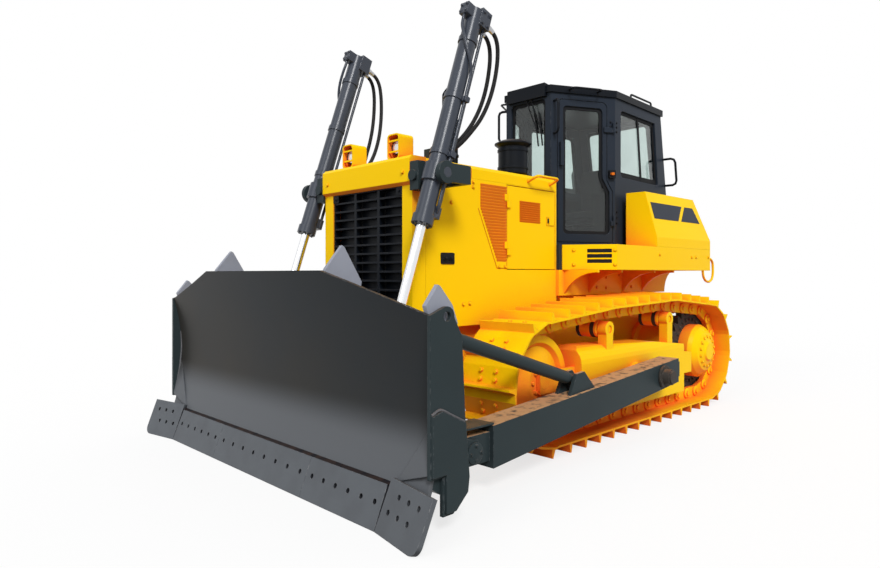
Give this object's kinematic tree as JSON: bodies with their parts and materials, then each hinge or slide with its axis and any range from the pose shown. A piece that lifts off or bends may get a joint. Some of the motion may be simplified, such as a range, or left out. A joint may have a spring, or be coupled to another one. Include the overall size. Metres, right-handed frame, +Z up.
{
  "type": "crawler bulldozer",
  "caption": "Crawler bulldozer with a semi-U blade on outside push arms, twin lift cylinders, yellow hood and fenders, and an enclosed hexagonal cab with opening doors.",
  "frame": {"origin": "on the ground under the middle of the whole machine's length and width", "axes": "+X forward, towards the blade; +Y to the machine's left; +Z up"},
  "size_m": [5.6602, 3.776, 3.5694],
  "materials": {
    "yellow_paint": "gloss",
    "track_paint": "satin",
    "cab_paint": "satin",
    "charcoal_paint": "satin",
    "cylinder_paint": "gloss",
    "chrome_rod": "polished",
    "edge_steel": "satin",
    "fin_paint": "satin",
    "cast_metal": "matte",
    "black_paint": "satin",
    "black_plastic": "matte",
    "seat_cloth": "matte",
    "window_glass": "clear",
    "lamp": "polished",
    "hose_rubber": "matte"
  },
  "bodies": {
    "chassis": {"main_frame": "yellow_paint", "engine_block": "cast_metal", "radiator_core": "black_paint", "radiator_guard": "yellow_paint", "radiator_grille": "black_paint", "hood_top": "yellow_paint", "hood_sides": "yellow_paint", "headlamp_housings": "yellow_paint", "headlamps": "lamp", "exhaust_stack": "black_paint", "air_precleaner": "black_paint", "platform": "cab_paint", "fenders": "yellow_paint", "side_tanks": "yellow_paint", "fuel_tank": "yellow_paint", "cab_front": "cab_paint", "cab_side_left": "cab_paint", "cab_side_right": "cab_paint", "cab_rear": "cab_paint", "cab_roof": "cab_paint", "cab_glass": "window_glass", "seat_base": "black_paint", "seat_cushions": "seat_cloth", "control_consoles": "black_plastic", "grab_rails": "black_paint", "yellow_handles": "yellow_paint", "lift_yokes": "charcoal_paint", "track_left": "track_paint", "track_right": "track_paint", "track_frame_left": "yellow_paint", "track_frame_right": "yellow_paint", "front_idlers": "yellow_paint", "drive_sprockets": "cast_metal", "final_drives": "yellow_paint", "track_rollers": "cast_metal", "carrier_rollers": "cast_metal", "cross_shafts": "cast_metal", "drawbar": "cast_metal", "hose_left_outer": "hose_rubber", "hose_left_inner": "hose_rubber", "hose_right_outer": "hose_rubber", "hose_right_inner": "hose_rubber"},
    "blade": {"moldboard": "charcoal_paint", "cutting_edges": "edge_steel", "end_bits": "edge_steel", "end_plates": "charcoal_paint", "blade_frame": "charcoal_paint", "blade_fins": "fin_paint", "push_arms": "charcoal_paint", "brace_tubes": "charcoal_paint"},
    "barrel_left": {"lift_cylinder_left": "cylinder_paint"},
    "barrel_right": {"lift_cylinder_right": "cylinder_paint"},
    "rod_left": {"lift_rod_left": "chrome_rod"},
    "rod_right": {"lift_rod_right": "chrome_rod"},
    "cab_door_left": {"door_left": "cab_paint", "door_glass_left": "window_glass"},
    "cab_door_right": {"door_right": "cab_paint", "door_glass_right": "window_glass"},
    "engine_cover_left": {"engine_door_left": "yellow_paint"},
    "engine_cover_right": {"engine_door_right": "yellow_paint"}
  },
  "joints": [
    {"name": "blade_lift", "type": "hinge", "parent": "chassis", "child": "blade", "pos_m": [-0.465, 0, 0.52356], "axis": [0, -1, 0], "range_deg": [-9.5, 21.5]},
    {"name": "cylinder_swing_left", "type": "hinge", "parent": "chassis", "child": "barrel_left", "pos_m": [1.685, 0.785, 2.2], "axis": [0, -1, 0], "range_deg": [-4, 8.8], "deforming": ["hose_left_outer", "hose_left_inner"]},
    {"name": "rod_slide_left", "type": "slide", "parent": "barrel_left", "child": "rod_left", "axis": [0.3162, 0, -0.9487], "range_m": [-0.99, 0.44]},
    {"name": "cylinder_swing_right", "type": "hinge", "parent": "chassis", "child": "barrel_right", "pos_m": [1.685, -0.785, 2.2], "axis": [0, -1, 0], "range_deg": [-4, 8.8], "deforming": ["hose_right_outer", "hose_right_inner"]},
    {"name": "rod_slide_right", "type": "slide", "parent": "barrel_right", "child": "rod_right", "axis": [0.3162, 0, -0.9487], "range_m": [-0.99, 0.44]},
    {"name": "door_swing_left", "type": "hinge", "parent": "chassis", "child": "cab_door_left", "pos_m": [-1.06008, 0.65195, 2.5], "axis": [0, 0, 1], "range_deg": [0, 110]},
    {"name": "door_swing_right", "type": "hinge", "parent": "chassis", "child": "cab_door_right", "pos_m": [-1.06008, -0.65195, 2.5], "axis": [0, 0, -1], "range_deg": [0, 110]},
    {"name": "engine_door_swing_left", "type": "hinge", "parent": "chassis", "child": "engine_cover_left", "pos_m": [0.624, 0.604, 1.86], "axis": [0, 0, -1], "range_deg": [0, 100]},
    {"name": "engine_door_swing_right", "type": "hinge", "parent": "chassis", "child": "engine_cover_right", "pos_m": [0.624, -0.604, 1.86], "axis": [0, 0, 1], "range_deg": [0, 100]}
  ],
  "couplings": [
    {"joint": "cylinder_swing_left", "follows": "blade_lift", "ratio": 0.39019},
    {"joint": "rod_slide_left", "follows": "blade_lift", "m_per_rad": -2.6126},
    {"joint": "cylinder_swing_right", "follows": "blade_lift", "ratio": 0.39019},
    {"joint": "rod_slide_right", "follows": "blade_lift", "m_per_rad": -2.6126}
  ]
}
